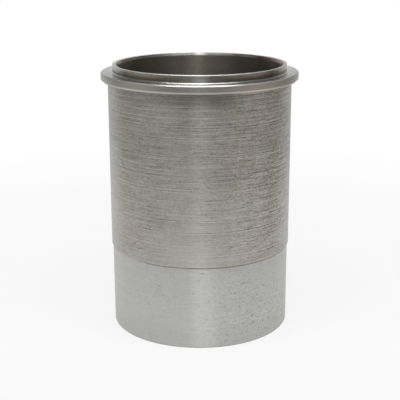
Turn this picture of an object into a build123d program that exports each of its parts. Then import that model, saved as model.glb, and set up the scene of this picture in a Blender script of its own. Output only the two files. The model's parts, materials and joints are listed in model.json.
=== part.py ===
from build123d import *
import os

os.makedirs("parts", exist_ok=True)

# Cylinder liner with a seating flange and a narrower collar above it, in millimetres.
# It is one iron casting, turned all over, so every face is a surface of revolution about Z.
# The origin is the centre of the foot, and the open rim points up.

# Bore, and the walls measured outwards from it
bore_diameter = 125.0
body_wall = 7.5
collar_wall = 3.7

# Steps away from the body's outside: out to the flange, in to the ground band at the foot
flange_overhang = 5.15
band_relief = 0.9

# Heights along the axis, from the foot up
overall_height = 204.0
band_height = 63.8
flange_thickness = 6.3
collar_height = 5.7

# Tapered lead-in that guides the piston rings into the bore
lead_in_depth = 2.1
lead_in_width = 0.9

# Edge breaks, from the rim down to the foot
rim_edge_break = 0.2
collar_root_radius = 0.8
flange_upper_chamfer = 0.8
flange_lower_chamfer = 1.5
seat_root_radius = 0.6
shoulder_chamfer = 0.4
foot_outer_chamfer = 0.5
foot_inner_chamfer = 1.0

# Radii of the turned faces
bore_radius = bore_diameter / 2
body_radius = bore_radius + body_wall
collar_radius = bore_radius + collar_wall
flange_radius = body_radius + flange_overhang
band_radius = body_radius - band_relief

# Levels of the flat faces
flange_top = overall_height - collar_height
flange_seat = flange_top - flange_thickness


def turned_edge(liner, radius, level):
    """The circular edge of this radius at this height."""
    circles = liner.edges().filter_by(GeomType.CIRCLE)
    at_level = circles.filter_by_position(Axis.Z, level - 0.001, level + 0.001)
    return at_level.sort_by(lambda edge: abs(edge.radius - radius))[0]


with BuildPart() as cylinder_liner:
    # Half section, from the foot up the outside, over the rim and down the bore
    with BuildSketch(Plane.XZ) as half_section:
        with BuildLine():
            Polyline(
                (bore_radius, 0),
                (band_radius, 0),
                (band_radius, band_height),
                (body_radius, band_height),
                (body_radius, flange_seat),
                (flange_radius, flange_seat),
                (flange_radius, flange_top),
                (collar_radius, flange_top),
                (collar_radius, overall_height),
                (bore_radius + lead_in_width, overall_height),
                (bore_radius, overall_height - lead_in_depth),
                close=True,
            )
        make_face()
    revolve(axis=Axis.Z)

    # Collar: a broken outer edge, and a small radius where it stands on the flange
    chamfer(turned_edge(cylinder_liner, collar_radius, overall_height), rim_edge_break)
    fillet(turned_edge(cylinder_liner, collar_radius, flange_top), collar_root_radius)

    # Flange: a light chamfer above, a heavier one below, and a radius in the seat's corner
    chamfer(turned_edge(cylinder_liner, flange_radius, flange_top), flange_upper_chamfer)
    chamfer(turned_edge(cylinder_liner, flange_radius, flange_seat), flange_lower_chamfer)
    fillet(turned_edge(cylinder_liner, body_radius, flange_seat), seat_root_radius)

    # Shoulder where the turned body steps in to the ground band
    chamfer(turned_edge(cylinder_liner, body_radius, band_height), shoulder_chamfer)

    # Foot: lead-ins outside for the block and inside for the honing stones
    chamfer(turned_edge(cylinder_liner, band_radius, 0), foot_outer_chamfer)
    chamfer(turned_edge(cylinder_liner, bore_radius, 0), foot_inner_chamfer)

cylinder_liner.part.label = "cylinder_liner"
export_step(cylinder_liner.part, "parts/cylinder_liner.step")
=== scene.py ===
import json
import math

import bpy
from mathutils import Matrix, Vector


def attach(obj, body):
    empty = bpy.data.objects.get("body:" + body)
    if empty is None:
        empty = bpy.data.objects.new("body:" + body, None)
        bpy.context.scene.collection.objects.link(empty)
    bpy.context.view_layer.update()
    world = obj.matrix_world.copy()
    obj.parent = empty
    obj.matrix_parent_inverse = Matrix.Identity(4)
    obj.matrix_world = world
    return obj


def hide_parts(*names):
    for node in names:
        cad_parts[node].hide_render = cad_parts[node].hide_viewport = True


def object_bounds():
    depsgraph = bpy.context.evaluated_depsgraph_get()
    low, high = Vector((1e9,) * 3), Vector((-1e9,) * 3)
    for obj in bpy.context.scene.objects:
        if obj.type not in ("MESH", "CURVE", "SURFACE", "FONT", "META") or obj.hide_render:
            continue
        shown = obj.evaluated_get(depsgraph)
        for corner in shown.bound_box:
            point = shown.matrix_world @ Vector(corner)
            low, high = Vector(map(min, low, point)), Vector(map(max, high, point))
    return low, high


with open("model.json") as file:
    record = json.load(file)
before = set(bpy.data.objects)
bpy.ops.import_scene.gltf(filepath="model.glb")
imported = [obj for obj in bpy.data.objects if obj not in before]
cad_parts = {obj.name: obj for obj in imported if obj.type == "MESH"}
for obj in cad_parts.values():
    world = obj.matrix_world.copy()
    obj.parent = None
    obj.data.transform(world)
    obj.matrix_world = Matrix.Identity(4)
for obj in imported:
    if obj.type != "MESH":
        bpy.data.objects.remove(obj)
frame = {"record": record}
cad_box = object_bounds()
mounts = {mount["name"]: mount for mount in frame["record"]["mounts"]}

# The form of the liner.
# One hollow iron casting, turned all over: its half section is drawn as a wire of straight cuts,
# the corners are chamfered or rounded, and the wire is spun about the bore's axis.
MM = 0.001
foot_level = cad_box[0].z
rim_level = cad_box[1].z
bore_radius = mounts["bore"]["dims"]["r_mm"] * MM
barrel_radius = mounts["barrel"]["dims"]["r_mm"] * MM
band_radius = mounts["foot_band"]["dims"]["r_mm"] * MM
flange_radius = mounts["flange_rim"]["dims"]["r_mm"] * MM
collar_radius = mounts["collar"]["dims"]["r_mm"] * MM
seat_level = mounts["flange_seat"]["pos_m"][2]
flange_level = mounts["flange_top"]["pos_m"][2]
band_middle = mounts["foot_band"]["pos_m"][2]
shoulder_level = band_middle + mounts["foot_band"]["dims"]["length_mm"] * MM / 2
lead_in_depth = 2.1 * MM
lead_in_width = 0.9 * MM
foot_inner_cut = 1.0 * MM
foot_outer_cut = 0.5 * MM
shoulder_cut = 0.4 * MM
seat_round = 0.6 * MM
lower_chamfer = 1.5 * MM
upper_chamfer = 0.8 * MM
collar_round = 0.8 * MM
rim_cut = 0.1 * MM
worn_edge = 0.04 * MM

lathe_steps = 288
one_cut = 1
round_cuts = 5
same_place = 0.01 * MM

section = [
    (bore_radius, foot_level),
    (band_radius, foot_level),
    (band_radius, shoulder_level),
    (barrel_radius, shoulder_level),
    (barrel_radius, seat_level),
    (flange_radius, seat_level),
    (flange_radius, flange_level),
    (collar_radius, flange_level),
    (collar_radius, rim_level),
    (bore_radius + lead_in_width, rim_level),
    (bore_radius, rim_level - lead_in_depth),
]
# Each corner's size, and how many cuts make it: one for a chamfer, more for a round
corner_cuts = {
    (bore_radius, foot_level): (foot_inner_cut, one_cut),
    (band_radius, foot_level): (foot_outer_cut, one_cut),
    (barrel_radius, shoulder_level): (shoulder_cut, one_cut),
    (barrel_radius, seat_level): (seat_round, round_cuts),
    (flange_radius, seat_level): (lower_chamfer, one_cut),
    (flange_radius, flange_level): (upper_chamfer, one_cut),
    (collar_radius, flange_level): (collar_round, round_cuts),
    (collar_radius, rim_level): (rim_cut, one_cut),
}


def section_point(radius, level):
    """A point of the half section, which is drawn on the side of +X."""
    return Vector((radius, 0, level))


bpy.ops.object.select_all(action="DESELECT")
bpy.ops.mesh.primitive_plane_add(size=MM, location=(0, 0, 0))
liner = bpy.context.object
liner.name = "turned_liner"
bpy.ops.object.mode_set(mode="EDIT")
bpy.ops.mesh.select_mode(type="VERT")
bpy.ops.mesh.merge(type="CENTER")
bpy.ops.transform.translate(value=section_point(*section[0]))
for here, there in zip(section, section[1:]):
    step = section_point(*there) - section_point(*here)
    bpy.ops.mesh.extrude_vertices_move(TRANSFORM_OT_translate={"value": step})
bpy.ops.mesh.select_all(action="SELECT")
bpy.ops.object.mode_set(mode="OBJECT")


def select_points(piece, wanted):
    """Selects the vertices for which wanted(co) holds, and leaves the piece in edit mode."""
    bpy.ops.object.mode_set(mode="EDIT")
    bpy.ops.mesh.select_mode(type="VERT")
    bpy.ops.mesh.select_all(action="DESELECT")
    bpy.ops.object.mode_set(mode="OBJECT")
    for vertex in piece.data.vertices:
        vertex.select = wanted(vertex.co)
    bpy.ops.object.mode_set(mode="EDIT")


# The lead-in's foot joins the bore's foot, which closes the section
ends = [section_point(*section[0]), section_point(*section[-1])]
select_points(liner, lambda co: min((co - end).length for end in ends) < same_place)
bpy.ops.mesh.edge_face_add()
for corner, (size, cuts) in corner_cuts.items():
    at = section_point(*corner)
    select_points(liner, lambda co: (co - at).length < same_place)
    bpy.ops.mesh.bevel(offset=size, segments=cuts, affect="VERTICES")

bpy.ops.mesh.select_all(action="SELECT")
bpy.ops.mesh.spin(
    steps=lathe_steps, angle=math.tau, center=(0, 0, 0), axis=(0, 0, 1), use_auto_merge=True
)
bpy.ops.mesh.select_all(action="SELECT")
bpy.ops.mesh.remove_doubles(threshold=0.001 * MM)
bpy.ops.mesh.normals_make_consistent(inside=False)
bpy.ops.object.mode_set(mode="OBJECT")

# Every edge is worn very slightly round by handling, so that it catches the light
bpy.ops.object.modifier_add(type="BEVEL")
edge_wear = liner.modifiers[-1]
edge_wear.width = worn_edge
edge_wear.segments = 2
edge_wear.limit_method = "ANGLE"
edge_wear.angle_limit = math.radians(20)
bpy.ops.object.modifier_apply(modifier=edge_wear.name)
bpy.ops.object.shade_smooth()
bpy.ops.object.modifier_add(type="WEIGHTED_NORMAL")
flat_faces = liner.modifiers[-1]
flat_faces.weight = 100
bpy.ops.object.modifier_apply(modifier=flat_faces.name)


# Shader maths for the finishes, and for the stage's materials after them.
class Wire:
    """One output socket in a material. Arithmetic on it adds Math nodes."""

    def __init__(self, tree, socket):
        self.tree = tree
        self.socket = socket

    def add(self, kind, inputs, output=0, **settings):
        """A node of any kind: its settings first, then values or links for its sockets."""
        made = self.tree.nodes.new(kind)
        for name, value in settings.items():
            setattr(made, name, value)
        for name, value in inputs.items():
            if isinstance(value, Wire):
                self.tree.links.new(value.socket, made.inputs[name])
            else:
                made.inputs[name].default_value = value
        return Wire(self.tree, made.outputs[output])

    def sibling(self, output):
        """Another output of the node that this one comes from."""
        return Wire(self.tree, self.socket.node.outputs[output])

    def math(self, operation, *values):
        """One Math node over these values."""
        return self.add("ShaderNodeMath", dict(enumerate(values)), operation=operation)

    def __add__(self, other):
        return self.math("ADD", self, other)

    def __radd__(self, other):
        return self.math("ADD", other, self)

    def __sub__(self, other):
        return self.math("SUBTRACT", self, other)

    def __rsub__(self, other):
        return self.math("SUBTRACT", other, self)

    def __mul__(self, other):
        return self.math("MULTIPLY", self, other)

    def __rmul__(self, other):
        return self.math("MULTIPLY", other, self)

    def clamp(self):
        """The value held between 0 and 1."""
        return self.math("MINIMUM", self.math("MAXIMUM", self, 0.0), 1.0)

    def ramp(self, low, high):
        """0 where the value is under low, 1 over high, and smooth between."""
        inputs = {"Value": self, "From Min": low, "From Max": high}
        return self.add("ShaderNodeMapRange", inputs, interpolation_type="SMOOTHSTEP")

    def fade(self, low, high):
        """1 where the value is under low, 0 over high, and smooth between."""
        return 1 - self.ramp(low, high)

    def off(self, place):
        """How far the value is from a place, to either side."""
        return self.math("ABSOLUTE", self - place)

    def near(self, place, core, reach):
        """1 within core of a place, 0 beyond reach of it, and smooth between."""
        return self.off(place).fade(core, reach)

    def stretch(self, around, along):
        """A position scaled for noise, in cells to a metre: around the axis, and along it."""
        inputs = {0: self, 1: (around, around, along)}
        return self.add("ShaderNodeVectorMath", inputs, operation="MULTIPLY")

    def noise(self, detail=2.0, roughness=0.5):
        """Noise about 0.5 over a position that is already scaled."""
        inputs = {"Vector": self, "Scale": 1.0, "Detail": detail, "Roughness": roughness}
        return self.add("ShaderNodeTexNoise", inputs)

    def line_noise(self, detail):
        """Noise about 0.5 over a single value that is already scaled."""
        inputs = {"W": self, "Scale": 1.0, "Detail": detail}
        return self.add("ShaderNodeTexNoise", inputs, noise_dimensions="1D")

    def tint(self, dark, light):
        """A colour from dark to light by this value. Either may be a colour that is mixed already."""
        ends = [end if isinstance(end, Wire) else (*end, 1) for end in (dark, light)]
        # The Mix node's colours share their names with its other sockets, so they go by number
        inputs = {"Factor": self, 6: ends[0], 7: ends[1]}
        return self.add("ShaderNodeMix", inputs, output=2, data_type="RGBA")


class Finish:
    """A metal finish: a material with its Principled shader and the object's own coordinates."""

    def __init__(self, name):
        self.material = bpy.data.materials.new(name)
        self.material.use_nodes = True
        tree = self.material.node_tree
        self.shader = next(n for n in tree.nodes if n.type == "BSDF_PRINCIPLED")
        start = Wire(tree, None)
        self.place = start.add("ShaderNodeTexCoord", {}, output="Object")
        self.x = self.place.add("ShaderNodeSeparateXYZ", {"Vector": self.place}, output="X")
        self.y = self.x.sibling("Y")
        self.level = self.x.sibling("Z")
        self.radius = start.math("SQRT", self.x * self.x + self.y * self.y)
        # The marks of every tool run round the axis, and so the highlights spread across them
        self.set(Metallic=1.0, Anisotropic_Rotation=0.25)

    def set(self, **sockets):
        """Sets or links the shader's sockets, with underscores for spaces in their names."""
        for name, value in sockets.items():
            socket = self.shader.inputs[name.replace("_", " ")]
            if isinstance(value, Wire):
                value.tree.links.new(value.socket, socket)
            else:
                socket.default_value = value

    def relief(self, height, depth):
        """A bump of this depth in metres, where height runs from 0 to 1."""
        inputs = {"Height": height, "Distance": depth, "Strength": 1.0}
        return height.add("ShaderNodeBump", inputs)


# The turned barrel, from the shoulder up to the flange's seat.
# Rough turning leaves broken rings round it, short torn streaks and a slightly uneven colour. The
# tool chattered more to the right and higher up. Painted shade, with some oil, darkens it under the
# flange, most in front.
def turned_finish():
    finish = Finish("turned_barrel")
    x = finish.x
    level = finish.level
    off_front = x.off(0)
    rings_to_metre = 1000
    feed = (level * rings_to_metre).line_noise(detail=1.0)
    patches = finish.place.stretch(around=75, along=95).noise(detail=1.0)
    rings = finish.place.stretch(around=52, along=470).noise(detail=2.0, roughness=0.6)
    dashes = finish.place.stretch(around=210, along=1080).noise(detail=1.0)
    grains = finish.place.stretch(around=720, along=1000).noise(detail=1.0)
    cloud = finish.place.stretch(around=18, along=30).noise(detail=2.0)
    blots = finish.place.stretch(around=26, along=34).noise(detail=3.0, roughness=0.6)
    torn = dashes.ramp(0.58, 0.66)
    smeared = dashes.fade(0.34, 0.42)

    # How deep the marks are: least in the middle, most on the right and higher up, and less again
    # at the very sides
    chatter_in_front = 0.32
    chatter_by_metre = 6.5
    aside = off_front.ramp(0, 45 * MM)
    higher_up = level.ramp(60 * MM, 120 * MM)
    at_edges = off_front.ramp(55 * MM, 66 * MM)
    chatter = chatter_in_front + aside * 0.56 + x * chatter_by_metre + higher_up * 0.42
    chatter = chatter * (1 - at_edges * 0.5)
    broken = 0.4 + patches.ramp(0.35, 0.65)
    cut = (feed - 0.5) * broken * 1.15 + (rings - 0.5) * 0.8
    cut = (cut + (grains - 0.5) * 0.85 + (dashes - 0.5) * 1.1) * chatter

    # The tone: the marks, then paler lower down, darker in the middle higher up, a paler place on the
    # right, and painted shade, with some oil, under the flange
    paler_lower = level.fade(70 * MM, 160 * MM)
    darker_middle = x.near(6 * MM, core=12 * MM, reach=30 * MM) * level.ramp(75 * MM, 130 * MM)
    pale = x.near(33 * MM, core=5 * MM, reach=16 * MM)
    under_seat = level.ramp(seat_level - 12 * MM, seat_level - 3 * MM)
    in_front = off_front.fade(5 * MM, 38 * MM)
    less_painted_shade = x.ramp(14 * MM, 26 * MM)
    blotted = blots.ramp(0.3, 0.6)
    # Painted shade under the flange, deepest in front and weaker to the right, with some oil in it
    oil_and_painted_shade = under_seat * (0.2 + blotted * 0.25 + in_front * 0.55 - less_painted_shade * 0.3)
    tone = 0.5 + cut * 0.9 + (smeared * 0.7 - torn) * chatter * 0.45 + (cloud - 0.5) * 0.5
    tone = (tone + paler_lower * 0.15 - darker_middle * 0.16 - oil_and_painted_shade * 0.45 + pale * 0.08).clamp()

    # The tarnish: olive or russet by patches, and strongest high up on the right
    metal = tone.tint((0.30, 0.29, 0.268), (0.68, 0.67, 0.64))
    olive = tone.tint((0.30, 0.29, 0.22), (0.65, 0.63, 0.495))
    russet = tone.tint((0.34, 0.275, 0.25), (0.715, 0.59, 0.53))
    hue = finish.place.stretch(around=48, along=40).noise(detail=2.0).ramp(0.38, 0.62)
    both_sides = off_front.ramp(6 * MM, 35 * MM)
    on_right = x.ramp(5 * MM, 35 * MM)
    near_top = level.ramp(90 * MM, 170 * MM)
    tarnish = both_sides * 0.18 + on_right * (near_top * 0.12 + 0.15)
    tarnish = tarnish * off_front.fade(52 * MM, 66 * MM) + blots.ramp(0.45, 0.75) * 0.2
    finish.set(
        Base_Color=tarnish.tint(metal, hue.tint(olive, russet)),
        Roughness=(0.42 - cut * 0.12 + torn * 0.1).clamp(),
        Anisotropic=0.9,
        Specular_Tint=(0.95, 0.95, 0.95, 1),
        Normal=finish.relief(cut * 0.5 + 0.5, depth=0.05 * MM),
    )
    return finish.material


# The ground band, from the foot up to the shoulder.
# Cylindrical grinding leaves it smooth and paler, with faint rings and a few small pits. Painted
# shade with some dirt darkens the corner under the shoulder, and painted shade the foot's edge.
def ground_finish():
    finish = Finish("ground_band")
    x = finish.x
    level = finish.level
    rings = finish.place.stretch(around=60, along=900).noise(detail=2.0)
    specks = finish.place.stretch(around=680, along=720).noise(detail=3.0, roughness=0.6)
    holes = finish.place.stretch(around=430, along=560).noise(detail=1.0)
    cloud = finish.place.stretch(around=22, along=22).noise(detail=2.0)
    rougher_by_metre = 9
    rougher = (0.5 + cloud.ramp(0.35, 0.65)) * (1.2 + x * rougher_by_metre)
    pits = holes.ramp(0.65, 0.73) * rougher
    mottle = (specks - 0.5) * rougher

    # Where the painted shade and the dirt lie: the corner under the shoulder, and the foot's edge
    corner = level.ramp(shoulder_level - 1.5 * MM, shoulder_level - 0.7 * MM)
    corner = corner * level.fade(shoulder_level - 0.5 * MM, shoulder_level)
    on_right = x.ramp(15 * MM, 40 * MM)
    dirt_and_painted_shade = corner * (cloud.ramp(0.30, 0.55) + on_right * 0.7).clamp()
    at_foot = level.fade(0.3 * MM, 1.1 * MM)
    dirt_and_painted_shade = (dirt_and_painted_shade + at_foot * 0.4).clamp()

    # The tone: a painted highlight down the front, painted shade at the foot's edge, and darker low
    # down
    low_down = level.fade(2 * MM, 22 * MM)
    in_front = x.near(3 * MM, core=3 * MM, reach=13 * MM)
    tone = 0.5 + (rings - 0.5) * 0.4 + mottle * 0.75 - pits * 0.3 + (cloud - 0.5) * 0.4
    tone = tone - at_foot * 0.5 - low_down * 0.15 + in_front * 0.22
    metal = tone.clamp().tint((0.44, 0.44, 0.42), (0.70, 0.70, 0.675))
    dirt_and_shade_colour = (0.30, 0.29, 0.27)
    finish.set(
        Base_Color=dirt_and_painted_shade.tint(metal, dirt_and_shade_colour),
        Roughness=(0.38 + (cloud - 0.5) * 0.08 + pits * 0.1).clamp(),
        Anisotropic=0.85,
        Specular_Tint=(0.85, 0.85, 0.85, 1),
        Normal=finish.relief(rings - pits * 0.5, depth=0.012 * MM),
    )
    return finish.material


# The flange's rim and its lower chamfer.
# They are turned in one pass with a blunter tool, and stay duller than the faces above. Their colour
# is darker in the middle and at both ends, and the chamfer is paler in front.
def flange_finish():
    finish = Finish("flange_rim")
    x = finish.x
    level = finish.level
    off_front = x.off(0)
    rings = finish.place.stretch(around=60, along=1400).noise(detail=2.0)
    specks = finish.place.stretch(around=400, along=600).noise(detail=2.0)

    # Where it is darker, and where the chamfer is paler
    upper_half = level.ramp(seat_level + 2 * MM, flange_level - upper_chamfer)
    at_ends = off_front.ramp(50 * MM, 66 * MM) * (upper_half * 0.4 + 0.8)
    darker_middle_and_ends = x.near(-5 * MM, core=14 * MM, reach=37 * MM) * 1.25 + at_ends
    chamfer_end = seat_level + lower_chamfer
    chamfer = level.fade(chamfer_end - 0.2 * MM, chamfer_end + 0.2 * MM)
    paler_in_front = 0.65 - off_front.ramp(34 * MM, 62 * MM) * 0.75 - x.ramp(32 * MM, 50 * MM) * 0.25
    chamfer = chamfer * paler_in_front
    tone = 0.75 + (rings - 0.5) * 0.25 + (specks - 0.5) * 0.25 - darker_middle_and_ends * 0.3 + chamfer
    tone = tone.clamp()
    metal = tone.tint((0.25, 0.235, 0.215), (0.585, 0.56, 0.525))
    brown = tone.tint((0.265, 0.23, 0.195), (0.62, 0.55, 0.47))
    browned = x.ramp(8 * MM, 45 * MM) * x.fade(60 * MM, 70 * MM) * 0.6
    finish.set(
        Base_Color=browned.tint(metal, brown),
        Roughness=(0.40 + (specks - 0.5) * 0.1).clamp(),
        Anisotropic=0.8,
        Normal=finish.relief(rings, depth=0.01 * MM),
    )
    return finish.material


# The flange's top, the collar, its lead-in and the foot's end face.
# Finish turning leaves them bright, with fine rings that follow the profile. Oil has dried brown in
# patches on the collar's wall. Painted shade darkens the wall's foot and the lead-in's ends, the rim
# is darker at its right end, and a painted highlight runs down the front and along the flange.
def finish_turned():
    finish = Finish("finish_turned")
    x = finish.x
    y = finish.y
    level = finish.level
    radius = finish.radius
    off_front = x.off(0)
    radial_share = 0.6
    rings_to_metre = 2600
    across = radius * radial_share + level
    rings = (across * rings_to_metre).line_noise(detail=2.0)
    cloud = finish.place.stretch(around=40, along=90).noise(detail=2.0)
    patches = finish.place.stretch(around=55, along=60).noise(detail=2.0)
    tone = (0.5 + (rings - 0.5) * 0.5 + (cloud - 0.5) * 0.5).clamp()

    # The collar's wall with its oil patches, painted shade at its foot and at the lead-in's ends, and
    # a darker right end of the rim
    wall_foot = flange_level + collar_round
    on_wall = level.ramp(wall_foot - 0.1 * MM, wall_foot + 0.3 * MM)
    wall = on_wall * level.fade(rim_level - 1.2 * MM, rim_level - 0.3 * MM)
    at_foot = level.fade(flange_level + 1.0 * MM, flange_level + 4.5 * MM)
    at_foot = at_foot * off_front.ramp(8 * MM, 22 * MM) * 0.8
    aside = off_front.ramp(40 * MM, 52 * MM)
    at_ends = off_front.ramp(57 * MM, 63 * MM)
    at_back = y.ramp(0, 40 * MM)
    blotted = 0.12 + aside * 0.5 - at_ends * 0.6 + at_back * 0.48
    oil_and_painted_shade = wall * (patches.ramp(0.42, 0.62) * blotted + at_foot).clamp()
    lead_in_edge = bore_radius + lead_in_width
    on_lead_in = radius.fade(lead_in_edge - 0.1 * MM, lead_in_edge + 0.2 * MM)
    on_lead_in = on_lead_in * off_front.ramp(52 * MM, 60 * MM)
    painted_darkening = on_lead_in * level.ramp(seat_level, rim_level - 3 * MM)
    on_rim = level.ramp(rim_level - 0.3 * MM, rim_level - 0.1 * MM)
    on_rim = on_rim * x.ramp(44 * MM, 54 * MM)
    oil_and_painted_shade = (oil_and_painted_shade + painted_darkening * 0.8 + on_rim * 0.4).clamp()

    # A painted highlight runs down the front, fainter on the wall, where painted shade lies at each
    # side of it
    off_stripe = x.off(-3 * MM)
    beside = off_stripe.near(17 * MM, core=4 * MM, reach=11 * MM)
    tone = (tone - beside * wall * 0.5).clamp()
    painted_highlight = off_stripe.fade(6 * MM, 14 * MM)
    in_front = y.fade(-20 * MM, 20 * MM)
    painted_highlight = painted_highlight * (1 - wall * 0.7) * in_front

    # More painted highlight: on the collar's ends, the flange's top and parts of its edge
    outside = radius.ramp(collar_radius - 0.4 * MM, collar_radius - 0.1 * MM)
    painted_highlight = painted_highlight + off_front.ramp(58 * MM, 63 * MM) * outside * 0.4
    round_end = collar_radius + collar_round
    on_flange = radius.ramp(round_end - 0.2 * MM, round_end + 0.2 * MM)
    painted_highlight = painted_highlight + on_flange * (0.7 - off_front.ramp(57 * MM, 67 * MM))
    edge_start = flange_radius - upper_chamfer
    inside_edge = radius.fade(edge_start - 0.2 * MM, edge_start + 0.2 * MM)
    at_sides = off_front.ramp(28 * MM, 40 * MM)
    on_edge = (1 - inside_edge) * at_sides * off_front.fade(58 * MM, 66 * MM)
    painted_highlight = (painted_highlight.clamp() * inside_edge + on_edge).clamp()

    # The colours: plain metal, brown tarnish on the wall, a paler metal for the painted highlight,
    # and a dark brown for the oil and the painted shade
    metal = tone.tint((0.42, 0.42, 0.40), (0.61, 0.61, 0.59))
    brown = tone.tint((0.47, 0.40, 0.33), (0.67, 0.58, 0.49))
    brown_by_metre = 4
    browned = off_front.ramp(12 * MM, 40 * MM) * (0.25 + x * brown_by_metre)
    metal = (browned * wall).tint(metal, brown)
    bright = tone.tint((0.57, 0.57, 0.55), (0.80, 0.80, 0.78))
    oil_and_shade_colour = x.ramp(20 * MM, 50 * MM).tint((0.22, 0.185, 0.135), (0.26, 0.165, 0.125))
    finish.set(
        Base_Color=oil_and_painted_shade.tint(painted_highlight.tint(metal, bright), oil_and_shade_colour),
        Roughness=(0.34 + (cloud - 0.5) * 0.08 - inside_edge * 0.08).clamp(),
        Anisotropic=0.75,
        Specular_Tint=(0.8, 0.8, 0.8, 1),
        Normal=finish.relief(rings, depth=0.006 * MM),
    )
    return finish.material


# The bore, from the lead-in down to the foot.
# Honing leaves it smooth, with fine scratches that cross on two slants. Painted shade darkens it
# right of the middle, painted light makes it paler on the left, and a painted highlight runs down the
# middle.
def honed_finish():
    finish = Finish("honed_bore")
    x = finish.x
    angle = x.math("ARCTAN2", finish.y, x)
    scratches_round = 420
    scratches_along = 6200
    hatch = None
    for slant in (-1, 1):
        wave = angle * scratches_round + finish.level * (slant * scratches_along)
        line = wave.math("SINE", wave) * 0.5 + 0.5
        hatch = line if hatch is None else hatch + line
    broken = finish.place.stretch(around=300, along=300).noise(detail=2.0)
    hatch = hatch * broken.ramp(0.35, 0.65)
    cloud = finish.place.stretch(around=30, along=40).noise(detail=2.0)
    # Painted shade right of the middle, painted light on the left, and a painted highlight down the
    # middle
    painted_darkening = x.near(20 * MM, core=4 * MM, reach=32 * MM)
    less_painted_shade = x.fade(-52 * MM, -12 * MM)
    painted_stripe = x.near(-5 * MM, core=2 * MM, reach=10 * MM)
    tone = 0.5 + (hatch - 0.5) * 0.1 + (cloud - 0.5) * 0.2
    tone = tone - painted_darkening * 0.22 + less_painted_shade * 0.3 + painted_stripe * 0.25
    finish.set(
        Base_Color=tone.clamp().tint((0.20, 0.185, 0.155), (0.44, 0.41, 0.355)),
        Roughness=(0.37 + (cloud - 0.5) * 0.08).clamp(),
        Anisotropic=0.85,
        Normal=finish.relief(hatch, depth=0.004 * MM),
    )
    return finish.material


# Each face takes the finish of the tool that cut it
finishes = [turned_finish(), ground_finish(), flange_finish(), finish_turned(), honed_finish()]
TURNED, GROUND, RIM, FINE, HONED = range(len(finishes))
for material in finishes:
    liner.data.materials.append(material)


def finish_of(centre):
    """The finish at a face's centre, by its radius and level, with margins for the worn edges."""
    margin_across = 0.1 * MM
    margin_along = 0.05 * MM
    radius = math.hypot(centre.x, centre.y)
    if radius < bore_radius + margin_across and centre.z < rim_level - lead_in_depth:
        return HONED
    if radius < band_radius - foot_outer_cut - margin_across and centre.z < shoulder_level:
        return FINE
    if centre.z < shoulder_level + shoulder_cut + margin_along:
        return GROUND
    if centre.z < seat_level and radius < barrel_radius + seat_round + margin_across:
        return TURNED
    if centre.z < flange_level - upper_chamfer + margin_along and radius > barrel_radius:
        return RIM
    return FINE


for face in liner.data.polygons:
    face.material_index = finish_of(face.center)

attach(liner, "root")
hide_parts("cylinder_liner")


# The floor.
# It is a plain white sheet. Far from the liner it glows, so that it melts into the white backdrop,
# and near the liner it keeps part of its own shading, and so the shadow of what stands on it.
bpy.ops.object.select_all(action="DESELECT")
floor_size = 30
bpy.ops.mesh.primitive_plane_add(size=floor_size, location=(0, 0, foot_level))
floor = bpy.context.object
floor.name = "floor"
glow_near = 0.80
glow_from = 0.20
glow_full = 0.70
paper_colour = (0.86, 0.86, 0.86, 1)
pure_white = (1, 1, 1, 1)


def stage_material(name):
    """A material for a thing of the stage, with its tree and its output, and no shader yet."""
    material = bpy.data.materials.new(name)
    material.use_nodes = True
    tree = material.node_tree
    tree.nodes.remove(next(n for n in tree.nodes if n.type == "BSDF_PRINCIPLED"))
    return material, Wire(tree, None), next(n for n in tree.nodes if n.type == "OUTPUT_MATERIAL")


def seen_directly(start):
    """1 for what the camera sees, in person or in metal or glass, and 0 for other light."""
    camera_ray = start.add("ShaderNodeLightPath", {}, output="Is Camera Ray")
    glossy_ray = camera_ray.sibling("Is Glossy Ray")
    clear_ray = camera_ray.sibling("Is Transmission Ray")
    return (camera_ray + glossy_ray + clear_ray).clamp()


sheet, start, sheet_end = stage_material("white_sheet")
place = start.add("ShaderNodeTexCoord", {}, output="Object")
distance = start.add("ShaderNodeVectorMath", {0: place}, output="Value", operation="LENGTH")
glow = glow_near + distance.ramp(glow_from, glow_full) * (1 - glow_near)
paper = start.add("ShaderNodeBsdfDiffuse", {"Color": paper_colour})
white = start.add("ShaderNodeEmission", {"Color": pure_white, "Strength": 1.0})
shown = start.add("ShaderNodeMixShader", {0: seen_directly(start) * glow, 1: paper, 2: white})
start.tree.links.new(shown.socket, sheet_end.inputs["Surface"])
floor.data.materials.append(sheet)

# The room round the set.
# The camera sees a white backdrop. The metal sees a softer one behind the liner, a paler ceiling,
# and a dim room at the sides and behind the camera.
world = bpy.data.worlds.new("studio")
bpy.context.scene.world = world
world.use_nodes = True
world_tree = world.node_tree
world_end = next(n for n in world_tree.nodes if n.type == "OUTPUT_WORLD")
world_tree.nodes.remove(next(n for n in world_tree.nodes if n.type == "BACKGROUND"))
start = Wire(world_tree, None)
room_light = 0.12
backdrop_light = 0.5
backdrop_from = 0.2
backdrop_full = 0.95
ceiling_light = 0.5
ceiling_from = 0.45
ceiling_full = 0.85
soft_light = 0.4
camera_ray = start.add("ShaderNodeLightPath", {}, output="Is Camera Ray")
glossy_ray = camera_ray.sibling("Is Glossy Ray")
way = start.add("ShaderNodeTexCoord", {}, output="Generated")
backwards = start.add("ShaderNodeSeparateXYZ", {"Vector": way}, output="Y")
upwards = backwards.sibling("Z")
behind = backwards.ramp(backdrop_from, backdrop_full)
above = upwards.ramp(ceiling_from, ceiling_full)
mirrored = room_light + behind * (backdrop_light - room_light)
mirrored = mirrored + above * (ceiling_light - room_light)
brightness = camera_ray + glossy_ray * mirrored + (1 - camera_ray - glossy_ray) * soft_light
shown = start.add("ShaderNodeBackground", {"Color": pure_white, "Strength": brightness})
start.tree.links.new(shown.socket, world_end.inputs["Surface"])

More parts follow.
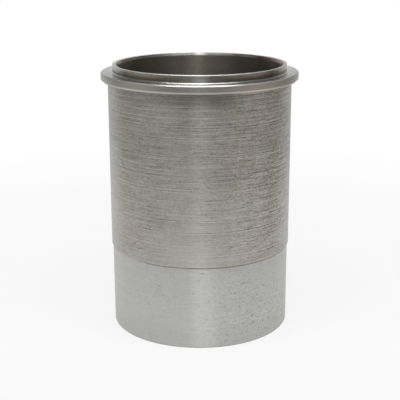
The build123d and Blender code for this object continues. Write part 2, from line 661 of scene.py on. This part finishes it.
# A low dark wall round the set, out of sight.
# It is a cloth that only the metal shows, as a photographer sets flags about a shiny part. Straight
# in front it has a paler patch, and towards the backdrop it is lit, nearly as white as the floor.
wall_across = 0.80
wall_forward = 0.50
wall_height = 0.30
wall_facets = 128
floor_gap = 0.002
cloth_light = 0.16
cloth_slope = 0.075
cloth_lit = 0.8
lit_slant = 0.045
lit_from = 0.13
lit_full = 0.52
paler_place = -0.22
paler_reach = 0.28
paler_light = 0.065
patch_light = 0.42
patch_core = 0.045
patch_reach = 0.10
patch_foot = (0.05, 0.10)
patch_top = (0.17, 0.22)
patch_back = (-0.3, 0.0)
warm_cloth = (1.0, 0.91, 0.77)
white_cloth = (0.96, 1.0, 1.0)
bpy.ops.mesh.primitive_cylinder_add(
    vertices=wall_facets,
    radius=1,
    depth=wall_height,
    end_fill_type="NOTHING",
    location=(0, 0, foot_level + wall_height / 2 + floor_gap),
    scale=(wall_across, wall_forward, 1),
)
wall = bpy.context.object
wall.name = "dark_wall"
bpy.ops.object.transform_apply(location=True, rotation=True, scale=True)
cloth, start, cloth_end = stage_material("dark_cloth")
place = start.add("ShaderNodeTexCoord", {}, output="Object")
backwards = start.add("ShaderNodeSeparateXYZ", {"Vector": place}, output="Y")
sideways = backwards.sibling("X")
height = backwards.sibling("Z")
# The patch straight in front, slightly paler sides, and a lit part that starts sooner on the left.
# The whole cloth gets darker towards the right.
patch = sideways.near(0, patch_core, patch_reach) * backwards.fade(*patch_back)
patch = patch * height.ramp(*patch_foot) * height.fade(*patch_top)
paler = backwards.near(paler_place, 0, paler_reach)
lit = (backwards - sideways * lit_slant).ramp(lit_from, lit_full)
brightness = cloth_light - sideways * cloth_slope + patch * (patch_light - cloth_light)
brightness = brightness + paler * paler_light + lit * (cloth_lit - cloth_light)
cloth_colour = (patch + lit).clamp().tint(warm_cloth, white_cloth)
shown = start.add("ShaderNodeEmission", {"Color": cloth_colour, "Strength": brightness})
start.tree.links.new(shown.socket, cloth_end.inputs["Surface"])
wall.data.materials.append(cloth)
wall.visible_camera = False
wall.visible_diffuse = False
wall.visible_shadow = False


# The lamps: a wide soft one overhead, a tall strip behind the camera, and one opposite it.
# The one overhead hangs nearer the camera, so that from straight above only the flange's front
# mirrors it. It aims a millimetre back, which settles its turn about its own axis.
def soft_lamp(name, shape, place, aim, width, height, radiance, colour=(1, 1, 1)):
    """A flat lamp at place that faces aim, as bright as radiance where white is 1."""
    data = bpy.data.lights.new(name, "AREA")
    data.color = colour
    data.shape = shape
    data.size = width
    data.size_y = height
    area = width * height * (math.pi / 4 if shape == "ELLIPSE" else 1)
    data.energy = radiance * math.pi * area
    lamp = bpy.data.objects.new(name, data)
    lamp.location = place
    lamp.rotation_euler = (Vector(aim) - Vector(place)).to_track_quat("-Z", "Y").to_euler()
    bpy.context.scene.collection.objects.link(lamp)


soft_lamp(
    "overhead", "ELLIPSE", place=(0, -0.31, 1.1), aim=(0, -0.309, 0),
    width=1.3, height=0.44, radiance=4.6,
)
soft_lamp(
    "front_strip", "RECTANGLE", place=(0, -1.5, 1.42), aim=(0, 0, 0.2),
    width=0.42, height=0.8, radiance=2.5, colour=(0.95, 1, 1),
)
soft_lamp(
    "back_strip", "RECTANGLE", place=(0, 1.7, 1.2), aim=(0, 0, 0.2),
    width=0.45, height=0.8, radiance=4.2,
)

# The camera, at the photograph's place: its distance, height and tilt were worked out from the
# outline of the liner, in a frame of 400 by 400 pixels. Angles are in radians, and the lens and
# its sensor in millimetres.
camera_distance = 0.7200
camera_height = 0.3018
camera_tilt_down = 0.2789
camera_roll = -0.0032
camera_lens = 85.2
sensor = 36.0
camera_data = bpy.data.cameras.new("camera")
camera_data.lens = camera_lens
camera_data.sensor_width = sensor
camera = bpy.data.objects.new("camera", camera_data)
camera.location = (0, -camera_distance, camera_height)
tilt = Matrix.Rotation(math.pi / 2 - camera_tilt_down, 4, "X")
roll = Matrix.Rotation(camera_roll, 4, "Z")
camera.rotation_euler = (tilt @ roll).to_euler()
bpy.context.scene.collection.objects.link(camera)
bpy.context.scene.camera = camera

bpy.context.scene.view_settings.view_transform = "Standard"
